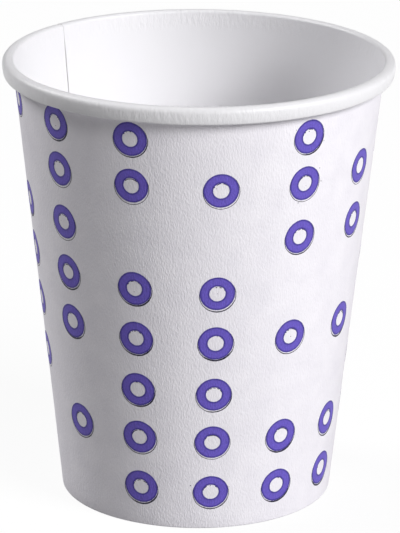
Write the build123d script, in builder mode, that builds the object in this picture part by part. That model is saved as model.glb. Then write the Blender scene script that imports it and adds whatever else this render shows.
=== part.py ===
# Paper cup, single wall, of the 80 mm rim size that holds about 240 ml
# Millimetres, +Z up. The origin is the middle of the foot ring, on the table.
# Azimuths are in degrees: 0 is the front, which faces -Y, and 90 is the side at +X.

import os
from math import asin, atan2, cos, degrees, hypot, radians, sin, tan

from build123d import *

# Overall sizes
rim_diameter = 80.0  # over the rolled rim
cup_height = 92.0  # from the table to the top of the rim
foot_diameter = 56.0  # over the wall where it meets the table

# Sheets of coated board
wall_board = 0.33  # thickness of the side wall's sheet
base_board = 0.30  # thickness of the base's sheet
seal = 0.02  # melted coating between two sheets that are sealed together

# Rolled rim
curl_width = 2.45  # across the roll
curl_drop = 1.05  # straight run down the roll's outer side
curl_flats = 8  # flats in half a turn of the roll
curl_flats_under = 5  # flats that turn back in under the drop

# Base and foot
floor_height = 7.5  # from the table to the top of the floor
base_bend = 0.6  # easing where the base turns down into its skirt
skirt_gap = 0.3  # from the fold up to the end of the skirt
fold_gap = 1.2  # from the end of the turned-in edge up to the floor
foot_ease = 0.2  # easing of the foot's two edges

# Side seam, where one edge of the sheet lies over the other
seam_azimuth = -131.0  # the inner edge of the sheet
lap_width = 7.5  # width of the double layer, half way up
climb_angle = 8.0  # part of a turn in which the outer layer climbs onto the inner one
lap_gap = 0.3  # from the lap to the roll above it, to the table and to the floor

# Printed rings
ring_diameter = 7.1
ring_hole = 3.0
ring_sides = 12  # sides of a ring's outline
hole_sides = 8  # sides of the hole's outline
ink = 0.05  # thickness of the ink
film_sides = 52  # flats all round that the ink is laid in
ring_reach = 1.0  # how far a ring's outline reaches through the wall's face, each way
row_heights = (85.0, 75.2, 63.9, 53.2, 42.4, 31.1, 20.5, 9.3)  # rows of rings in the first column
row_slope = -0.3  # rise of a row from one column to the next
first_column = -106.7  # azimuth of the first column of rings
column_pitch = 28.6  # degrees between columns
column_skew = -1.8  # degrees that a column slants over the cup's height
rows_printed = (  # the rows that hold a ring, column by column
    (1, 2, 4, 5, 7),
    (0, 2, 3, 4, 5),
    (0, 1, 2, 3, 4, 6),
    (0, 1, 3, 4, 5, 6, 7),
    (1, 3, 4, 5, 6, 7),
    (0, 1, 2, 4, 6, 7),
    (1, 2, 4, 6, 7),
    (0, 1, 3, 5, 6),
    (0, 2, 3, 4, 6, 7),
    (1, 2, 4, 5, 7),
    (0, 1, 3, 5, 6, 7),
    (0, 2, 3, 4, 6),
)

# The roll's centre line, as flats that touch its true round
flat_angle = 180 / curl_flats
corner = Vector((curl_width - wall_board) / 2 / cos(radians(flat_angle / 2)), 0)
curl_centre = Vector(rim_diameter / 2 - curl_width / 2, cup_height - curl_width / 2)
curl_over = [
    curl_centre + corner.rotate(Axis.Z, 180 - flat_angle * (flat + 0.5))
    for flat in range(curl_flats)
]
curl_under = [
    curl_centre - Vector(0, curl_drop) + corner.rotate(Axis.Z, -flat_angle * (flat + 0.5))
    for flat in range(curl_flats_under + 1)
]

# The wall leans out from the foot, and its centre line meets the roll's first corner
rise = curl_over[0] - Vector(foot_diameter / 2, 0)
lean = atan2(rise.X, rise.Y) + asin(wall_board / 2 / hypot(rise.X, rise.Y))


def wall_point(inset, height):
    """Point of the section on a line along the wall, inset from the wall's outer face."""
    return (foot_diameter / 2 + height * tan(lean) - inset / cos(lean), height)


def outward(azimuth):
    """Direction away from the cup's axis."""
    return Vector(sin(radians(azimuth)), -cos(radians(azimuth)), 0)


def section_plane(azimuth):
    """Upright plane through the axis, with its x away from the axis and its y up."""
    away = outward(azimuth)
    return Plane(origin=(0, 0, 0), x_dir=away, z_dir=away.cross(Vector(0, 0, 1)))


def face_plane(azimuth, height):
    """Plane that touches the wall's outer face at a height."""
    radius = wall_point(0, height)[0]
    away = outward(azimuth)
    normal = away * cos(lean) - Vector(0, 0, sin(lean))
    return Plane(origin=away * radius + Vector(0, 0, height), x_dir=away.rotate(Axis.Z, 90), z_dir=normal)


def wall_strip(face_inset, back_inset, bottom, top):
    """Outline of a strip that runs up the wall between two insets."""
    return Polyline(
        wall_point(face_inset, bottom),
        wall_point(face_inset, top),
        wall_point(back_inset, top),
        wall_point(back_inset, bottom),
        close=True,
    )


# Lines that the sheets follow down by the foot
skirt_inset = wall_board + seal + base_board / 2
fold_inset = skirt_inset + base_board / 2 + seal + wall_board / 2
floor_line = floor_height - base_board / 2
fold_top = floor_height - base_board - fold_gap

# Places of the side seam
lap_angle = degrees(lap_width / wall_point(0, cup_height / 2)[0])
lap_bottom = lap_gap
curl_bottom = cup_height - curl_width - curl_drop
lap_top = curl_bottom - lap_gap
climb_end = seam_azimuth + climb_angle

# Side wall: one sheet, folded in at the foot and rolled out at the rim
with BuildPart() as side_wall:
    with BuildSketch(Plane.XZ) as wall_section:
        with BuildLine():
            Polyline(
                wall_point(fold_inset, fold_top),
                wall_point(fold_inset, wall_board / 2),
                wall_point(wall_board / 2, wall_board / 2),
                *curl_over,
                *curl_under,
            )
        trace(line_width=wall_board)
        chamfer(wall_section.vertices().group_by(Axis.Y)[0], foot_ease)
    revolve(axis=Axis.Z)

    # Outer layer of the side seam
    with BuildSketch(section_plane(seam_azimuth - lap_angle)):
        with BuildLine():
            wall_strip(-wall_board, wall_board / 2, lap_bottom, lap_top)
        make_face()
    revolve(axis=Axis.Z, revolution_arc=lap_angle)

    # Where it climbs onto the inner layer, outside
    with BuildSketch(section_plane(seam_azimuth)):
        with BuildLine():
            wall_strip(-wall_board, wall_board / 2, lap_bottom, lap_top)
        make_face()
    with BuildSketch(section_plane(climb_end)):
        with BuildLine():
            wall_strip(seal, wall_board / 2, lap_bottom, lap_top)
        make_face()
    loft(ruled=True)

    # The same climb inside, which leaves the inner layer's edge standing as a step
    with BuildSketch(section_plane(seam_azimuth)):
        with BuildLine():
            wall_strip(0, 2 * wall_board, floor_height + lap_gap, curl_centre.Y)
        make_face()
    with BuildSketch(section_plane(climb_end)):
        with BuildLine():
            wall_strip(wall_board + seal, 2 * wall_board, floor_height + lap_gap, curl_centre.Y)
        make_face()
    loft(ruled=True, mode=Mode.SUBTRACT)

# Base: one disc with its edge turned down into a skirt, held between the wall and the fold
with BuildPart() as base_disc:
    with BuildSketch(Plane.XZ):
        with BuildLine():
            Polyline(
                (0, floor_line),
                (wall_point(skirt_inset, floor_line)[0] - base_bend, floor_line),
                wall_point(skirt_inset, floor_line - base_bend),
                wall_point(skirt_inset, wall_board + skirt_gap),
            )
        trace(line_width=base_board)
    revolve(axis=Axis.Z)

# Print: rings of ink that bend round the wall, in rows and columns a little askew to it
ring_planes = []
for column, rows in enumerate(rows_printed):
    for row in rows:
        height = row_heights[row] + column * row_slope
        azimuth = first_column + column * column_pitch + column_skew * (1 - height / cup_height)
        if height + ring_diameter / 2 < curl_bottom:
            ring_planes.append(face_plane(azimuth, height))

with BuildPart() as ring_print:
    # A film of ink all over the wall
    for ink_face, mode in ((ink, Mode.ADD), (0, Mode.SUBTRACT)):
        with BuildSketch():
            RegularPolygon(foot_diameter / 2 + ink_face / cos(lean), film_sides, major_radius=False)
        extrude(amount=cup_height, taper=-degrees(lean), mode=mode)

    # What is left of it inside the rings' outlines
    with BuildSketch(*[plane.offset(-ring_reach) for plane in ring_planes]):
        RegularPolygon(ring_diameter / 2, ring_sides)
        RegularPolygon(ring_hole / 2, hole_sides, mode=Mode.SUBTRACT)
    extrude(amount=2 * ring_reach, mode=Mode.INTERSECT)

side_wall.part.label = "side_wall"
base_disc.part.label = "base_disc"
ring_print.part.label = "ring_print"

os.makedirs("parts", exist_ok=True)
export_step(side_wall.part, "parts/side_wall.step")
export_step(base_disc.part, "parts/base_disc.step")
export_step(ring_print.part, "parts/ring_print.step")
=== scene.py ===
# Paper cup: two sheets of coated board and the print on them, in a plain white studio
# Metres, +Z up, the camera looks along +Y. Azimuth 0 is the front, and 90 the side at +X.
import random
from math import asin, atan2, cos, hypot, pi, radians, sin, tan

import bmesh
import bpy
from mathutils import Matrix, Vector, noise


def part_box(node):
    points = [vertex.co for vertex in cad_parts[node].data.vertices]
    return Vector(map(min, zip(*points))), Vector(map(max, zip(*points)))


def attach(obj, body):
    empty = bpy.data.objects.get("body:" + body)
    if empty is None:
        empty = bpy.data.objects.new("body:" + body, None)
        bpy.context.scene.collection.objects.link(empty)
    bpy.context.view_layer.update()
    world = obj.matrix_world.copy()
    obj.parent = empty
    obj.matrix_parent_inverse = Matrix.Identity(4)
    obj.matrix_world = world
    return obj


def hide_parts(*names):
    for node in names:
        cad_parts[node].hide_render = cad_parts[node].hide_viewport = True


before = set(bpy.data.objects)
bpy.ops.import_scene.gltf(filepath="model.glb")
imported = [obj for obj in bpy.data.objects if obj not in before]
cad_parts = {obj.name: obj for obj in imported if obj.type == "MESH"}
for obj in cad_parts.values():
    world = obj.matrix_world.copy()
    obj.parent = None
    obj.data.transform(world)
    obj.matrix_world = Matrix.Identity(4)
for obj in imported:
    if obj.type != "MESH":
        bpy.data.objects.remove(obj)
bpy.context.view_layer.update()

mm = 0.001
samePlace = 0.001 * mm  # points this near each other are one
frameWall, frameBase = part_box("side_wall"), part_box("base_disc")
rimRadius, cupHeight, floorTop = frameWall[1].x, frameWall[1].z, frameBase[1].z
print("frame: rim radius %.4f, height %.4f" % (rimRadius, cupHeight))


def smoothShare(share):  # 0 to 1 with a soft start and end
    share = min(max(share, 0.0), 1.0)
    return share * share * (3 - 2 * share)


def runTo(bm, tip, x, z, steps=1):  # straight stretch of a section
    start, end = tip.co.copy(), Vector((x, 0, z))
    for step in range(steps):
        tip = bmesh.ops.extrude_vert_indiv(bm, verts=[tip])["verts"][0]
        tip.co = start.lerp(end, (step + 1) / steps)
    return tip


def turnAbout(bm, tip, x, z, angle, steps):  # round stretch of a section, clockwise about a centre
    made = bmesh.ops.spin(bm, geom=[tip], cent=(x, 0, z), axis=(0, 1, 0), angle=angle, steps=steps)
    return [v for v in made["geom_last"] if isinstance(v, bmesh.types.BMVert)][0]


def finishPiece(bm, name, materials, node):  # a mesh at the origin, on the root body
    mesh = bpy.data.meshes.new(name)
    bm.to_mesh(mesh)
    bm.free()
    for material in materials:
        mesh.materials.append(material)
    piece = bpy.data.objects.new(name, mesh)
    bpy.context.scene.collection.objects.link(piece)
    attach(piece, "root")
    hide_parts(node)
    return piece


def giveThickness(piece, sheet, pressed=""):  # a sheet's middle becomes board with eased cut edges
    solid = piece.modifiers.new("board", "SOLIDIFY")
    solid.vertex_group = pressed
    solid.thickness = sheet["board"] * mm
    solid.offset = 0
    solid.use_even_offset = True
    solid.material_offset = 1
    solid.material_offset_rim = 2
    ease = piece.modifiers.new("cut edges", "BEVEL")
    ease.width = sheet["edgeEase"] * mm
    ease.segments = 2
    ease.limit_method = "ANGLE"
    ease.angle_limit = radians(60)  # nothing but the cut edges is as sharp as that
    ease.harden_normals = True


def hexColour(text):  # sRGB hex to linear
    channels = [int(text[i:i + 2], 16) / 255 for i in (1, 3, 5)]
    return [c / 12.92 if c <= 0.04045 else ((c + 0.055) / 1.055) ** 2.4 for c in channels] + [1.0]


def addNode(tree, kind, settings=None, links=None):  # a node with its settings and what feeds it
    node = tree.nodes.new("ShaderNode" + kind)
    for key, value in (settings or {}).items():
        if isinstance(key, int) or key in node.inputs:
            node.inputs[key].default_value = value
        else:
            setattr(node, key, value)
    for key, source in (links or {}).items():
        tree.links.new(source, node.inputs[key])
    return node


def startMaterial(name, colour, roughness, ior):
    material = bpy.data.materials.new(name)
    material.use_nodes = True
    tree = material.node_tree
    shader = tree.nodes["Principled BSDF"]
    shader.inputs["Base Color"].default_value = hexColour(colour)
    shader.inputs["Roughness"].default_value = roughness
    shader.inputs["IOR"].default_value = ior
    return material, tree, shader


# Board of both sheets: millimetres
boardLooks = {
    "outside": ("#ECE9F0", "#F3F0F6"),  # bleached board in its thin and its thick spots
    "inside": "#EAE9EC",  # the same board under a clear film
    "edge": "#ECEBEA",  # cut edge, with the pulp showing
    "fibreWidth": 0.32,  # drawn ten times as coarse as real fibres so that they show
    "fibreLength": 0.75,
    "fibreRelief": 0.12,
    "pulpClouds": 5.0,  # the cloudy formation of the sheet
    "pulpCloudEnds": (0.3, 0.7),  # levels of the noise where it is thinnest and thickest
    "pulpGrain": 0.2,  # the crumbs of pulp in a cut edge
    "pulpRelief": 0.03,
    "pleatPitch": 0.7,  # from one fine pleat of the rolled rim to the next
    "pleatLength": 1.8,
    "pleatRelief": 0.14,
    "pleatsFrom": 4.5,  # how far below the top of the rim the pleats begin
    "pleatsFull": 2.5,  # and how far below it they are at their deepest
}


def boardFibres(tree, coords, shader):  # short upright fibres, pressed half flat by the calender
    width, length = boardLooks["fibreWidth"] * mm, boardLooks["fibreLength"] * mm
    stretched = addNode(tree, "Mapping", {"Scale": (1 / width, 1 / width, 1 / length)}, {"Vector": coords})
    fibres = addNode(tree, "TexNoise", {"Scale": 1.0, "Detail": 3.0, "Roughness": 0.55},
                     {"Vector": stretched.outputs[0]})
    relief = addNode(tree, "Bump", {"Distance": boardLooks["fibreRelief"] * mm},
                     {"Height": fibres.outputs["Fac"]})
    tree.links.new(relief.outputs["Normal"], shader.inputs["Normal"])


def boardOutside():  # bleached board, calendered and uncoated: matt, faintly fibrous and cloudy
    material, tree, shader = startMaterial("bleachedBoardCalendered", boardLooks["outside"][0],
                                           roughness=0.82, ior=1.48)
    coords = addNode(tree, "TexCoord").outputs["Object"]
    clouds = addNode(tree, "TexNoise", {"Scale": 1 / (boardLooks["pulpClouds"] * mm), "Detail": 4.0},
                     {"Vector": coords})
    tint = addNode(tree, "ValToRGB", {}, {"Fac": clouds.outputs["Fac"]})
    stops = zip(tint.color_ramp.elements, boardLooks["pulpCloudEnds"], boardLooks["outside"])
    for stop, position, colour in stops:
        stop.position = position
        stop.color = hexColour(colour)
    tree.links.new(tint.outputs["Color"], shader.inputs["Base Color"])
    boardFibres(tree, coords, shader)
    return material


def boardInside():  # board under a clear film: smooth with a soft shine, and pleated where it is rolled
    material, tree, shader = startMaterial("filmCoatedBoard", boardLooks["inside"], roughness=0.42, ior=1.5)
    coords = addNode(tree, "TexCoord").outputs["Object"]
    pitch, length = boardLooks["pleatPitch"] * mm, boardLooks["pleatLength"] * mm
    flat = addNode(tree, "VectorMath", {"operation": "MULTIPLY", 1: (1, 1, 0)}, {0: coords})
    heading = addNode(tree, "VectorMath", {"operation": "NORMALIZE"}, {0: flat.outputs[0]})
    around = addNode(tree, "VectorMath", {"operation": "SCALE", "Scale": rimRadius / pitch},
                     {0: heading.outputs[0]})
    place = addNode(tree, "VectorMath", {"operation": "MULTIPLY_ADD", 1: (0, 0, 1 / length)},
                    {0: coords, 2: around.outputs[0]})
    pleats = addNode(tree, "TexNoise", {"Scale": 1.0, "Detail": 3.0, "Roughness": 0.6},
                     {"Vector": place.outputs[0]})
    height = addNode(tree, "SeparateXYZ", {}, {0: coords}).outputs["Z"]
    onRoll = addNode(tree, "MapRange", {"From Min": cupHeight - boardLooks["pleatsFrom"] * mm,
                                        "From Max": cupHeight - boardLooks["pleatsFull"] * mm},
                     {"Value": height})
    relief = addNode(tree, "Bump", {"Distance": boardLooks["pleatRelief"] * mm},
                     {"Height": pleats.outputs["Fac"], "Strength": onRoll.outputs[0]})
    tree.links.new(relief.outputs["Normal"], shader.inputs["Normal"])
    return material


def boardEdge():  # cut board: bare pulp, dull and crumbly
    material, tree, shader = startMaterial("boardCutEdge", boardLooks["edge"], roughness=0.9, ior=1.45)
    coords = addNode(tree, "TexCoord").outputs["Object"]
    pulp = addNode(tree, "TexNoise", {"Scale": 1 / (boardLooks["pulpGrain"] * mm), "Detail": 4.0},
                   {"Vector": coords})
    relief = addNode(tree, "Bump", {"Strength": 0.6, "Distance": boardLooks["pulpRelief"] * mm},
                     {"Height": pulp.outputs["Fac"]})
    tree.links.new(relief.outputs["Normal"], shader.inputs["Normal"])
    return material


outsideBoard, insideBoard, edgeBoard = boardOutside(), boardInside(), boardEdge()
print("board materials made")

# Side wall, one sheet: millimetres and degrees
wall = {
    "board": 0.33,  # thickness of the sheet
    "edgeEase": 0.06,  # easing of its cut edges
    "footDiameter": 56.0,  # over the wall where it meets the table
    "curlWidth": 2.45,  # across the rolled rim
    "curlShoulder": 0.6,  # radius of the bend at the roll's inner side
    "curlDrop": 1.05,  # how much higher than wide the roll is
    "curlSideTurn": 17.0,  # how far the roll's outer side turns in on its way down
    "curlLip": 0.35,  # radius of the tight bend at the roll's lower edge
    "curlTurnUnder": 96.0,  # how far the sheet has turned in past that bend
    "curlGap": 0.2,  # from the sheet's end under the roll to the wall
    "foldBend": 0.17,  # radius of the two bends of the foot's fold
    "foldGap": 1.2,  # from the turned-in edge up to the floor
    "seamAzimuth": -131.0,  # the inner edge of the sheet
    "lapWidth": 7.5,  # width of the double layer, half way up
    "seal": 0.02,  # melted coating between two layers
    "climb": 8.0,  # turn in which the outer layer climbs onto the inner one
    "pressedClimb": 1.2,  # the same where both layers are pressed thin, in the roll and the fold
    "pressedUnderRoll": 4.4,  # how far below the middle of the roll the pressing begins
    "pressedRollFade": 1.6,  # height in which it grows to the full
    "pressedOverFoot": 0.4,  # how high above the table the fold's pressing is at the full
    "pressedFootFade": 2.0,  # height in which it fades
    "waver": 0.10,  # how far the wall strays inwards from a true cone
    "waverRound": 2.2,  # how short its waves are round the cup, 1 for the longest
    "waverLength": 70.0,  # of its waves up the wall
    "waverFades": (12.0, 6.0),  # heights in which it fades, above the floor and below the roll
    "rollWaver": 0.10,  # how far the rolled rim strays inwards
    "rollWaves": ((24, 0.6), (70, 0.4)),  # how short its waves are, as above, and the share of each
    "stepsRound": 300,
    "stepsUp": 40,
    "stepsFold": 5,
    "stepsBend": 8,
    "stepsTop": 2,
    "stepsUnder": 4,
}

# The wall's middle line runs on into the roll's middle line, which gives its lean
curlRadius = (wall["curlWidth"] - wall["board"]) / 2 * mm
curlX = rimRadius - wall["curlWidth"] / 2 * mm
curlZ = cupHeight - wall["curlWidth"] / 2 * mm
footRadius = wall["footDiameter"] / 2 * mm
wallHalf = wall["board"] / 2 * mm
lean = atan2(curlX - footRadius, curlZ) - asin((curlRadius - wallHalf) / hypot(curlX - footRadius, curlZ))


def wallRadius(z, inset=0.0):  # radius of the cone at a height, inset from its outer face
    return footRadius + z * tan(lean) - inset / cos(lean)


def wallWaver(azimuth, z):  # how far the board lies inside the true cone, in slow waves
    waves, (fadeIn, fadeOut) = wall["waverRound"], wall["waverFades"]
    spot = Vector((waves * sin(azimuth), waves * cos(azimuth), z / (wall["waverLength"] * mm)))
    fade = smoothShare((z - floorTop) / (fadeIn * mm)) * smoothShare((curlZ - z) / (fadeOut * mm))
    return wall["waver"] * mm * fade * (0.5 + 0.5 * noise.noise(spot))


def pressedShare(z):  # how far the lap's two layers are pressed thin: fully in the roll and the fold
    inRoll = smoothShare((z - curlZ + wall["pressedUnderRoll"] * mm) / (wall["pressedRollFade"] * mm))
    overFold = smoothShare((z - wall["pressedOverFoot"] * mm) / (wall["pressedFootFade"] * mm))
    return inRoll + 1 - overFold


def drawWallSection(bm):  # middle of the sheet, from its end inside the foot to its end under the roll
    stepsFold, stepsBend = wall["stepsFold"], wall["stepsBend"]
    foldInset = wall["board"] + wall["seal"] + base["board"] + wall["seal"] + wall["board"] / 2
    foldTop = floorTop - (base["board"] + wall["foldGap"]) * mm
    bend = wall["foldBend"] * mm
    bendZ = wallHalf + bend
    innerBendX = wallRadius(bendZ, foldInset * mm - bend)
    outerBendX = wallRadius(bendZ, wallHalf + bend)
    tip = bm.verts.new((wallRadius(foldTop, foldInset * mm), 0, foldTop))
    tip = runTo(bm, tip, innerBendX - bend * cos(lean), bendZ + bend * sin(lean), stepsFold)
    tip = turnAbout(bm, tip, innerBendX, bendZ, -(pi / 2 + lean), stepsFold)
    tip = runTo(bm, tip, outerBendX, wallHalf)
    tip = turnAbout(bm, tip, outerBendX, bendZ, -(pi / 2 - lean), stepsFold)

    # Up the wall and over the top of the roll
    shoulder = wall["curlShoulder"] * mm
    shoulderZ = curlZ + curlRadius - shoulder
    shoulderX = wallRadius(shoulderZ, wallHalf - shoulder)
    tip = runTo(bm, tip, shoulderX - shoulder * cos(lean), shoulderZ + shoulder * sin(lean),
                wall["stepsUp"])
    tip = turnAbout(bm, tip, shoulderX, shoulderZ, pi / 2 - lean, stepsBend)
    tip = runTo(bm, tip, curlX, curlZ + curlRadius, wall["stepsTop"])
    tip = turnAbout(bm, tip, curlX, curlZ, pi / 2, stepsBend)

    # Down its outer side in a wide bend, round the lip in a tight one and back in under it
    lip, sideTurn = wall["curlLip"] * mm, radians(wall["curlSideTurn"])
    turnUnder = radians(wall["curlTurnUnder"])
    side = (wall["curlDrop"] * mm + curlRadius - lip * (1 - sin(sideTurn))) / sin(sideTurn)
    sideX = curlX + curlRadius - side
    tip = turnAbout(bm, tip, sideX, curlZ, sideTurn, stepsBend)
    lipZ = curlZ - (side - lip) * sin(sideTurn)
    tip = turnAbout(bm, tip, sideX + (side - lip) * cos(sideTurn), lipZ, turnUnder - sideTurn, stepsBend)
    reach = tip.co.x - wallRadius(tip.co.z) - wall["curlGap"] * mm
    runTo(bm, tip, tip.co.x - reach, tip.co.z + reach * tan(turnUnder - pi / 2), wall["stepsUnder"])
    return lipZ - lip  # the bottom of the roll


# The last stretch climbs onto the first and lies over it, outside. In the roll and in the fold
# both are pressed to half their thickness. Nothing of the board is quite true.
def lapAndWaver(bm, sectionCount, lapTurn):
    thickness = bm.verts.layers.deform.verify()
    layer, rollHeight = (wall["board"] + wall["seal"]) * mm, wall["curlWidth"] * mm
    places = {}
    for v in bm.verts:
        turned = v.index // sectionCount * (2 * pi + lapTurn) / wall["stepsRound"]
        pressed = pressedShare(v.co.z)
        climb = radians(wall["climb"] + (wall["pressedClimb"] - wall["climb"]) * pressed)
        over = smoothShare((turned - 2 * pi) / climb + 1)
        under = smoothShare((lapTurn - turned) / radians(wall["pressedClimb"]) + 1)
        v[thickness][0] = 1 - pressed * (over + under) / 2
        place = v.co - v.normal * (layer * over * (1 - pressed) + wallHalf / 2 * (over - under) * pressed)
        place.z = max(place.z, wallHalf * v[thickness][0])
        heading = Vector((place.x, place.y, 0)).normalized()
        place -= heading * wallWaver(atan2(place.x, -place.y), place.z)
        onRoll = smoothShare((place.z - curlZ + rollHeight) / rollHeight)
        knobs = sum(noise.noise(heading * waves) * share for waves, share in wall["rollWaves"])
        place -= v.normal * wall["rollWaver"] * mm * onRoll * (0.5 + 0.5 * knobs)
        places[v] = place
    for v, place in places.items():
        v.co = place


def buildWall():
    bm = bmesh.new()
    rollBottom = drawWallSection(bm)
    sectionCount = len(bm.verts)

    # Once round and on over the lap, from the sheet's inner edge
    lapTurn = wall["lapWidth"] * mm / wallRadius(cupHeight / 2)
    toSeam = Matrix.Rotation(radians(wall["seamAzimuth"] - 90), 3, "Z")
    bmesh.ops.rotate(bm, verts=bm.verts, cent=(0, 0, 0), matrix=toSeam)
    bmesh.ops.spin(bm, geom=bm.verts[:] + bm.edges[:], cent=(0, 0, 0), axis=(0, 0, 1),
                   angle=-(2 * pi + lapTurn), steps=wall["stepsRound"])
    bm.normal_update()
    bm.verts.index_update()

    # The coated side of the sheet is inside, and goes outside where the rim is rolled
    upright = [f for f in bm.faces if floorTop < f.calc_center_median().z < rollBottom]
    if sum(f.normal.xy.dot(f.calc_center_median().xy) for f in upright) > 0:
        bmesh.ops.reverse_faces(bm, faces=bm.faces)
        bm.normal_update()
    lapAndWaver(bm, sectionCount, lapTurn)
    for face in bm.faces:
        face.smooth = True
    piece = finishPiece(bm, "sideWall", [insideBoard, outsideBoard, edgeBoard], "side_wall")
    piece.vertex_groups.new(name="pressed")
    giveThickness(piece, wall, "pressed")


# Base, a disc with its edge turned down: millimetres
base = {
    "board": 0.30,
    "edgeEase": 0.05,
    "bend": 0.6,  # radius where the floor turns down into the skirt
    "skirtGap": 0.3,  # from the fold up to the end of the skirt
    "waver": 0.05,  # how far the floor strays from flat
    "waverLength": 22.0,  # of its waves
    "waverFade": 6.0,  # width in which they fade, inwards of the bend
    "stepsRound": 180,
    "stepsAcross": 24,
    "stepsBend": 8,
    "stepsSkirt": 6,
}


def buildBase():
    bm = bmesh.new()
    floorLine = floorTop - base["board"] / 2 * mm
    skirtInset = (wall["board"] + wall["seal"] + base["board"] / 2) * mm
    bend = base["bend"] * mm
    bendZ = floorLine - bend
    bendX = wallRadius(bendZ, skirtInset + bend)
    skirtEnd = (wall["board"] + base["skirtGap"]) * mm
    tip = bm.verts.new((0, 0, floorLine))
    tip = runTo(bm, tip, bendX, floorLine, base["stepsAcross"])
    tip = turnAbout(bm, tip, bendX, bendZ, pi / 2 + lean, base["stepsBend"])
    runTo(bm, tip, wallRadius(skirtEnd, skirtInset), skirtEnd, base["stepsSkirt"])
    bmesh.ops.spin(bm, geom=bm.verts[:] + bm.edges[:], cent=(0, 0, 0), axis=(0, 0, 1), angle=2 * pi,
                   steps=base["stepsRound"], use_merge=True)
    bmesh.ops.remove_doubles(bm, verts=bm.verts, dist=samePlace)
    bmesh.ops.recalc_face_normals(bm, faces=bm.faces)
    for v in bm.verts:
        flat = smoothShare((bendX - v.co.xy.length) / (base["waverFade"] * mm))
        v.co.z += base["waver"] * mm * flat * noise.noise(v.co / (base["waverLength"] * mm))
    for face in bm.faces:
        face.smooth = True
    piece = finishPiece(bm, "baseDisc", [insideBoard, outsideBoard, edgeBoard], "base_disc")
    giveThickness(piece, base)


# Print, two inks, the dark one a little low: millimetres and degrees
ringPrint = {
    "fill": "#6453BC",  # violet
    "fillEdge": "#40338F",  # the same ink, squeezed out along both edges
    "edgeBand": 0.42,  # how far in from an edge that shows
    "line": "#150F30",  # nearly black
    "mottle": 0.4,  # size of the ink's spots
    "mottleTones": (0.86, 1.14),  # the darkest and the lightest of them
    "rise": 0.25,  # of the violet over the middle of each place
    "fillRadius": 3.56,
    "holeRadius": 1.62,
    "lineRadius": 3.72,  # of the outline round the violet, at its outer edge
    "lineWidth": 0.12,
    "holeLineRadius": 1.83,  # of the broken line round the hole, at its outer edge
    "holeLineWidth": 0.156,
    "holeLineShown": (-0.35, 0.25),  # noise above a level drawn between these leaves a gap in it
    "holeLineGaps": 2.4,  # how many it has for each millimetre of noise
    "underlap": 0.1,  # how far the dark ink runs in under the violet
    "slip": 0.28,  # how much lower the dark ink is printed than the violet
    "slipVaries": 0.07,  # either way, from ring to ring
    "slipAside": (-0.03, 0.08),  # how far to the right it is printed
    "crescent": 0.24,  # how much the outline thickens at the bottom of a ring, at most
    "crescentShares": (0.0, 0.25, 0.5, 0.8, 1.0),  # of that, one of them for each ring
    "crescentSpan": 70.0,  # from its middle to each end
    "crescentEnds": 1.6,  # how quickly it thickens from its ends
    "crescentHeading": (-15, 35),  # of its middle, from straight down
    "lift": 0.03,  # of the violet over the board
    "lineLift": 0.015,  # of the dark ink, which lies under it
    "sunk": 0.03,  # how far both reach into the board
    "raggedness": 0.03,  # of the violet's edges, and of the two dark lines below
    "lineRaggedness": 0.045,
    "holeLineRaggedness": 0.06,
    "ragWaves": 1.9,  # how many to a millimetre
    "segments": 72,
    "specks": 1.1,  # for each ring, the mean of a draw that is then rounded down
    "speckSize": 0.09,
    "speckSizes": (0.6, 1.4),  # the smallest and the largest, as shares of that
    "speckSegments": 8,
    "speckReach": (3.65, 4.7),  # from the ring's middle, for those outside the violet
    "speckClear": 0.3,  # to the edge of the hole, at least, for those in it
    "seed": 11,
}

# Each ring reads its own slices of the noise: for its edges, and for the gaps in its broken line
edgeSlices, gapSlices = 3.7, 5.1
outlineSlice, holeLineSlice = 100, 200


# Flexographic ink, soaked into the board: fibrous, mottled, glossier than the board, and darker
# where it is squeezed out
def printInk(name, colour, edgeColour):
    look = ringPrint
    material, tree, shader = startMaterial(name, colour, roughness=0.6, ior=1.5)
    coords = addNode(tree, "TexCoord").outputs["Object"]
    mottle = addNode(tree, "TexNoise", {"Scale": 1 / (look["mottle"] * mm), "Detail": 4.0,
                                        "Roughness": 0.6}, {"Vector": coords})
    darkest, lightest = look["mottleTones"]
    shade = addNode(tree, "MapRange", {"From Min": 0.3, "From Max": 0.7, "To Min": darkest,
                                       "To Max": lightest}, {"Value": mottle.outputs["Fac"]})
    squeezed = addNode(tree, "Attribute", {"attribute_name": "squeezed"})
    band = addNode(tree, "MapRange", {"From Max": 0.5}, {"Value": squeezed.outputs["Fac"]})
    # A Mix node's sockets 6 and 7 are its two colours
    tone = addNode(tree, "Mix", {"data_type": "RGBA", 6: hexColour(colour), 7: hexColour(edgeColour)},
                   {0: band.outputs[0]})
    mottled = addNode(tree, "VectorMath", {"operation": "SCALE"},
                      {0: tone.outputs[2], "Scale": shade.outputs[0]})
    tree.links.new(mottled.outputs[0], shader.inputs["Base Color"])
    boardFibres(tree, coords, shader)
    return material


def printedPlaces(node):  # azimuth and height of the middle of each printed ring
    bm = bmesh.new()
    bm.from_mesh(node.data)
    bmesh.ops.remove_doubles(bm, verts=bm.verts, dist=samePlace)
    unseen, places = set(bm.verts), []
    while unseen:
        island, edge = set(), [unseen.pop()]
        while edge:
            v = edge.pop()
            island.add(v)
            for near in (e.other_vert(v) for e in v.link_edges):
                if near in unseen:
                    unseen.remove(near)
                    edge.append(near)
        middle = sum((v.co for v in island), Vector()) / len(island)
        heading = atan2(middle.x, -middle.y)
        turns = [(atan2(v.co.x, -v.co.y) - heading + pi) % (2 * pi) - pi for v in island]
        heights = [v.co.z for v in island]
        places.append((heading + (min(turns) + max(turns)) / 2, (min(heights) + max(heights)) / 2))
    bm.free()
    return sorted(places)


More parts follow.
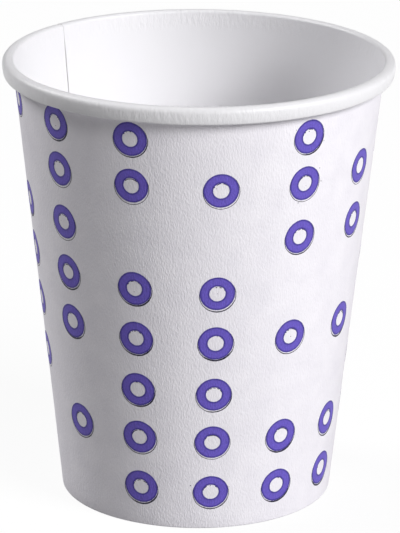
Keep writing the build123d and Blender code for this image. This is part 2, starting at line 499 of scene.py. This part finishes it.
# A flat ring of one or more bands. Each radius is a function of the turn from straight down.
def flatRing(bm, radii, shift, top, ragged, count):
    made = bmesh.ops.create_circle(bm, segments=ringPrint["segments"], radius=1)["verts"]
    loops, faces = [made], []
    edges = list(dict.fromkeys(e for v in made for e in v.link_edges))
    for _ in radii[1:]:
        made = bmesh.ops.extrude_edge_only(bm, edges=edges)["geom"]
        loops.append([g for g in made if isinstance(g, bmesh.types.BMVert)])
        edges = [g for g in made if isinstance(g, bmesh.types.BMEdge)]
        faces += [g for g in made if isinstance(g, bmesh.types.BMFace)]
    for loop, radius in zip(loops, radii):
        for v in loop:
            length = radius(atan2(v.co.x, -v.co.y))
            spot = v.co * length * ringPrint["ragWaves"] + Vector((0, 0, count * edgeSlices))
            v.co = v.co * (length + ragged * noise.noise(spot)) + Vector((*shift, top))
    return faces


def thicken(bm, faces, depth):  # ink gets a body that reaches down into the board
    made = bmesh.ops.extrude_face_region(bm, geom=faces)["geom"]
    for v in (g for g in made if isinstance(g, bmesh.types.BMVert)):
        v.co.z -= depth


def wrapOnWall(bm, azimuth, z):  # flat millimetres to the wall's outer face
    for v in bm.verts:
        across, up, out = v.co * mm
        height = z + up * cos(lean)
        around = azimuth + across / wallRadius(height)
        radius = wallRadius(height) - wallWaver(around, height) + out * cos(lean)
        v.co = Vector((radius * sin(around), -radius * cos(around), height - out * sin(lean)))


def addViolet(ring, count):
    look = ringPrint
    radii = (look["fillRadius"], look["fillRadius"] - look["edgeBand"],
             look["holeRadius"] + look["edgeBand"], look["holeRadius"])
    faces = flatRing(ring, [lambda turn, r=r: r for r in radii], (0, 0), look["lift"],
                     look["raggedness"], count)
    squeezed = ring.verts.layers.float.new("squeezed")
    for v in ring.verts:
        v[squeezed] = 1.0 if len(v.link_faces) < 4 else 0.0  # only the edges' points have fewer
    thicken(ring, faces, look["lift"] + look["sunk"])


def addSpeck(ring, dice):
    look = ringPrint
    inHole = dice.uniform(0, look["holeRadius"] - look["speckClear"])
    distance = dice.choice((inHole, dice.uniform(*look["speckReach"]), dice.uniform(*look["speckReach"])))
    turn = dice.uniform(0, 2 * pi)
    made = bmesh.ops.create_circle(ring, cap_ends=True, segments=look["speckSegments"],
                                   radius=look["speckSize"] * dice.uniform(*look["speckSizes"]))
    bmesh.ops.translate(ring, verts=made["verts"],
                        vec=(distance * sin(turn), distance * cos(turn), look["lineLift"]))
    return made["verts"][0].link_faces


def addDarkInk(ring, count, dice):  # what shows of the dark ink beside the violet, and specks of it
    look = ringPrint
    slip = (dice.uniform(*look["slipAside"]), -look["slip"] + dice.uniform(-1, 1) * look["slipVaries"])
    heavy = look["crescent"] * dice.choice(look["crescentShares"])
    heading = radians(dice.uniform(*look["crescentHeading"]))
    inked = dice.uniform(*look["holeLineShown"])

    def innerEdge(turn):
        spread = 1 - abs(turn - heading) / radians(look["crescentSpan"])
        return look["lineRadius"] - look["lineWidth"] - heavy * smoothShare(spread * look["crescentEnds"])

    outline = flatRing(ring, (lambda turn: look["lineRadius"], innerEdge),
                       slip, look["lineLift"], look["lineRaggedness"], count + outlineSlice)
    holeLine = flatRing(ring, (lambda turn: look["holeLineRadius"],
                               lambda turn: look["holeLineRadius"] - look["holeLineWidth"]),
                        slip, look["lineLift"], look["holeLineRaggedness"], count + holeLineSlice)
    gapSpot = Vector((0, 0, count * gapSlices))
    missing = [f for f in holeLine
               if noise.noise(f.calc_center_median() * look["holeLineGaps"] + gapSpot) > inked]
    shown = [f for f in outline + holeLine if f not in missing]
    covered = (look["holeRadius"] + look["underlap"], look["fillRadius"] - look["underlap"])
    missing += [f for f in shown if covered[0] < f.calc_center_median().xy.length < covered[1]]
    for _ in range(int(dice.expovariate(1 / look["specks"]))):
        shown += addSpeck(ring, dice)
    bmesh.ops.delete(ring, geom=missing, context="FACES")
    shown = [f for f in shown if f.is_valid]
    for f in shown:
        f.material_index = 1
    thicken(ring, shown, look["lineLift"] + look["sunk"])


def buildPrint():
    dice = random.Random(ringPrint["seed"])
    bm = bmesh.new()
    for count, (azimuth, z) in enumerate(printedPlaces(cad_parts["ring_print"])):
        ring = bmesh.new()
        addViolet(ring, count)
        addDarkInk(ring, count, dice)
        bmesh.ops.recalc_face_normals(ring, faces=ring.faces)
        wrapOnWall(ring, azimuth, z + ringPrint["rise"] * mm)
        part = bpy.data.meshes.new("ring")
        ring.to_mesh(part)
        ring.free()
        bm.from_mesh(part)
        bpy.data.meshes.remove(part)
    inks = [printInk("violetFlexoInk", ringPrint["fill"], ringPrint["fillEdge"]),
            printInk("darkFlexoInk", ringPrint["line"], ringPrint["line"])]
    finishPiece(bm, "ringPrint", inks, "ring_print")


buildWall()
print("side wall made")
buildBase()
print("base made")
buildPrint()
print("print made")

# Studio: metres, degrees and watts
studio = {
    "target": (0.00054, 0.0, 0.04695),  # the point in the middle of the picture
    "distance": 0.7530,  # from there to the camera
    "elevation": 18.17,
    "roll": 0.43,
    "lens": 245.8,  # mm, on the default 36 mm sensor
    "floorSize": 6.0,
    "floorColour": "#FCFCFC",  # as the camera sees it
    "floorBounce": "#A8A8A8",  # what the floor throws back onto the cup
    "shadowShare": 0.08,  # of the floor's look that takes shadows
    "ambient": 0.03,  # soft light from all round
}
lamps = {  # azimuth and elevation of each lamp, its distance, size and power
    "key": (50, 31, 2.5, 1.1, 71.0),
    "left": (-114, 38, 2.5, 1.0, 40.0),
}


def fromCup(azimuth, elevation, distance):  # the way from the cup's middle to a camera or lamp
    heading, height = radians(azimuth), radians(elevation)
    return Vector((sin(heading) * cos(height), -cos(heading) * cos(height), sin(height))) * distance


def aim(thing, place, target, roll=0.0):
    turned = (target - place).to_track_quat("-Z", "Y").to_matrix() @ Matrix.Rotation(radians(roll), 3, "Z")
    thing.matrix_world = Matrix.Translation(place) @ turned.to_4x4()


def buildCamera(scene, target):
    camera = bpy.data.objects.new("camera", bpy.data.cameras.new("camera"))
    camera.data.lens = studio["lens"]
    camera.data.clip_start = 0.01
    scene.collection.objects.link(camera)
    aim(camera, target + fromCup(0, studio["elevation"], studio["distance"]), target, studio["roll"])
    scene.camera = camera


def buildLamps(scene, target):
    for name, (azimuth, elevation, distance, size, power) in lamps.items():
        lamp = bpy.data.objects.new(name, bpy.data.lights.new(name, "AREA"))
        lamp.data.size = size
        lamp.data.energy = power
        scene.collection.objects.link(lamp)
        aim(lamp, target + fromCup(azimuth, elevation, distance), target)


def paintFloor():  # white to the camera and to reflections, with a share that still takes the shadow
    paint = bpy.data.materials.new("studioFloor")
    paint.use_nodes = True
    tree = paint.node_tree
    tree.nodes.clear()
    path = addNode(tree, "LightPath")
    seen = addNode(tree, "Math", {"operation": "MAXIMUM"},
                   {0: path.outputs["Is Camera Ray"], 1: path.outputs["Is Glossy Ray"]})
    seen = addNode(tree, "Math", {"operation": "MAXIMUM"},
                   {0: seen.outputs[0], 1: path.outputs["Is Transmission Ray"]})
    tone = addNode(tree, "Mix", {"data_type": "RGBA", 6: hexColour(studio["floorBounce"]),
                                 7: hexColour(studio["floorColour"])}, {0: seen.outputs[0]})
    matt = addNode(tree, "BsdfDiffuse", {}, {"Color": tone.outputs[2]})
    white = addNode(tree, "Emission", {"Color": (1, 1, 1, 1), "Strength": 1.0})
    share = addNode(tree, "Math", {"operation": "MULTIPLY", 1: 1 - studio["shadowShare"]},
                    {0: seen.outputs[0]})
    mix = addNode(tree, "MixShader", {}, {0: share.outputs[0], 1: matt.outputs[0], 2: white.outputs[0]})
    addNode(tree, "OutputMaterial", {}, {"Surface": mix.outputs[0]})
    return paint


def buildFloor(scene):
    bm = bmesh.new()
    bmesh.ops.create_grid(bm, x_segments=1, y_segments=1, size=studio["floorSize"] / 2)
    mesh = bpy.data.meshes.new("floor")
    bm.to_mesh(mesh)
    bm.free()
    mesh.materials.append(paintFloor())
    floor = bpy.data.objects.new("floor", mesh)
    scene.collection.objects.link(floor)


def buildWorld(scene):  # white to the camera, a little soft light on the cup
    world = bpy.data.worlds.new("studio")
    scene.world = world
    world.use_nodes = True
    tree = world.node_tree
    sky = tree.nodes["Background"]
    sky.inputs["Color"].default_value = (1, 1, 1, 1)
    path = addNode(tree, "LightPath")
    seen = addNode(tree, "Math", {"operation": "MAXIMUM"},
                   {0: path.outputs["Is Camera Ray"], 1: path.outputs["Is Transmission Ray"]})
    level = addNode(tree, "MapRange", {"To Min": studio["ambient"]}, {"Value": seen.outputs[0]})
    tree.links.new(level.outputs[0], sky.inputs["Strength"])


def buildStudio():
    scene, target = bpy.context.scene, Vector(studio["target"])
    buildCamera(scene, target)
    buildLamps(scene, target)
    buildFloor(scene)
    buildWorld(scene)
    scene.view_settings.view_transform = "Standard"


buildStudio()
print("studio made")
